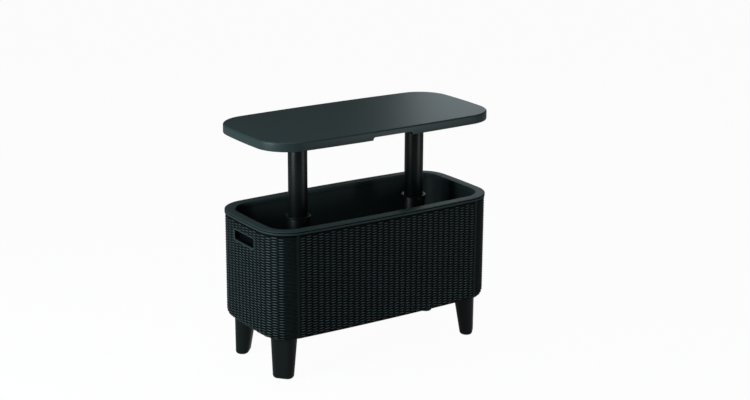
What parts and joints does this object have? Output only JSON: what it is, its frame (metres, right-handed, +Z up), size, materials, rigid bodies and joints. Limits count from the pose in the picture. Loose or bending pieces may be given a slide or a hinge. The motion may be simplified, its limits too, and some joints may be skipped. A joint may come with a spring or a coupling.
{
  "type": "cooler table",
  "caption": "Long cool box on tapered legs with woven-look walls and a slate-grey table top that lifts on round columns above the tub.",
  "frame": {"origin": "centre of the footprint on the floor, under the legs", "axes": "+X along the length, towards the right seen from the front; -Y towards the front; +Z up"},
  "size_m": [0.838, 0.407, 0.762],
  "materials": {
    "deck_resin": "fine-grained slate-grey moulding",
    "casing_resin": "graphite woven-look moulding",
    "rim_resin": "graphite satin moulding",
    "column_resin": "smooth graphite tube",
    "leg_resin": "dark satin moulding",
    "guide_resin": "plain black moulding",
    "seal_rubber": "soft black washer"
  },
  "bodies": {
    "cooler": {"tub_rim": "rim_resin", "tub_liner": "rim_resin", "front_panel": "casing_resin", "back_panel": "casing_resin", "left_end_panel": "casing_resin", "right_end_panel": "casing_resin", "handle_cup_left": "rim_resin", "handle_cup_right": "rim_resin", "base_tray": "guide_resin", "leg_front_left": "leg_resin", "leg_front_right": "leg_resin", "leg_back_left": "leg_resin", "leg_back_right": "leg_resin", "sleeve_left": "column_resin", "sleeve_right": "column_resin", "sleeve_collar_left": "guide_resin", "sleeve_collar_right": "guide_resin"},
    "lifting_top": {"table_top": "deck_resin", "top_underside": "guide_resin", "column_left": "column_resin", "column_right": "column_resin", "column_head_left": "guide_resin", "column_head_right": "guide_resin", "column_shoe_left": "guide_resin", "column_shoe_right": "guide_resin"},
    "drain": {"drain_plug": "guide_resin", "drain_seal": "seal_rubber"}
  },
  "joints": [
    {"name": "top_lift", "type": "slide", "parent": "cooler", "child": "lifting_top", "axis": [0, 0, 1], "range_m": [-0.2467, 0]},
    {"name": "drain_pull", "type": "slide", "parent": "cooler", "child": "drain", "axis": [0, 0, -1], "range_m": [0, 0.04]}
  ]
}
